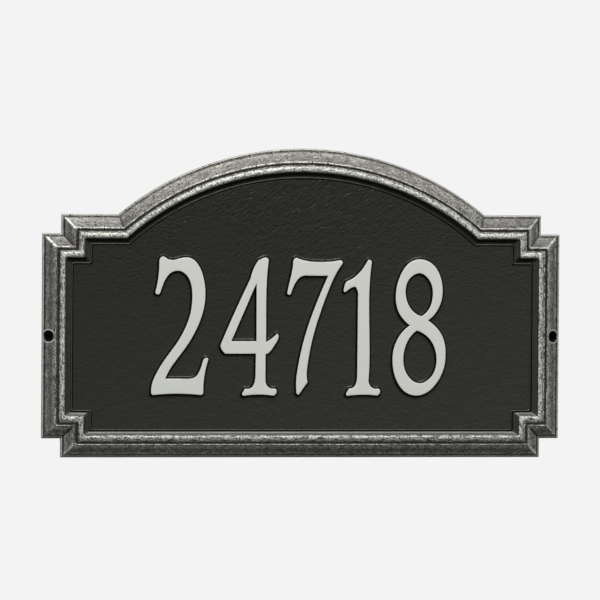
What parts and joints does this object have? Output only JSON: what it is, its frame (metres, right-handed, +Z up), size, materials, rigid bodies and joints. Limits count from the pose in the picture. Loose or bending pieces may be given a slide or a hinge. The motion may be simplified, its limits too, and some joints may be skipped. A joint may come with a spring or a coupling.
{
  "type": "house number plaque",
  "caption": "Wall plaque cast in one piece, with an arched top, stepped corners, a moulded border and raised numerals, screwed on through a hole at each side.",
  "frame": {"origin": "midway between the two screw holes, on the wall face of the plaque", "axes": "+X along the width to the viewer's right, +Z up the wall, +Y into the wall; the front faces -Y"},
  "size_m": [0.4, 0.0095, 0.2366],
  "materials": {
    "plaque_casting": "semi-gloss black coat in the field, worn pewter border and satin silver numeral faces"
  },
  "bodies": {
    "root": {"plaque": "plaque_casting"}
  },
  "joints": []
}
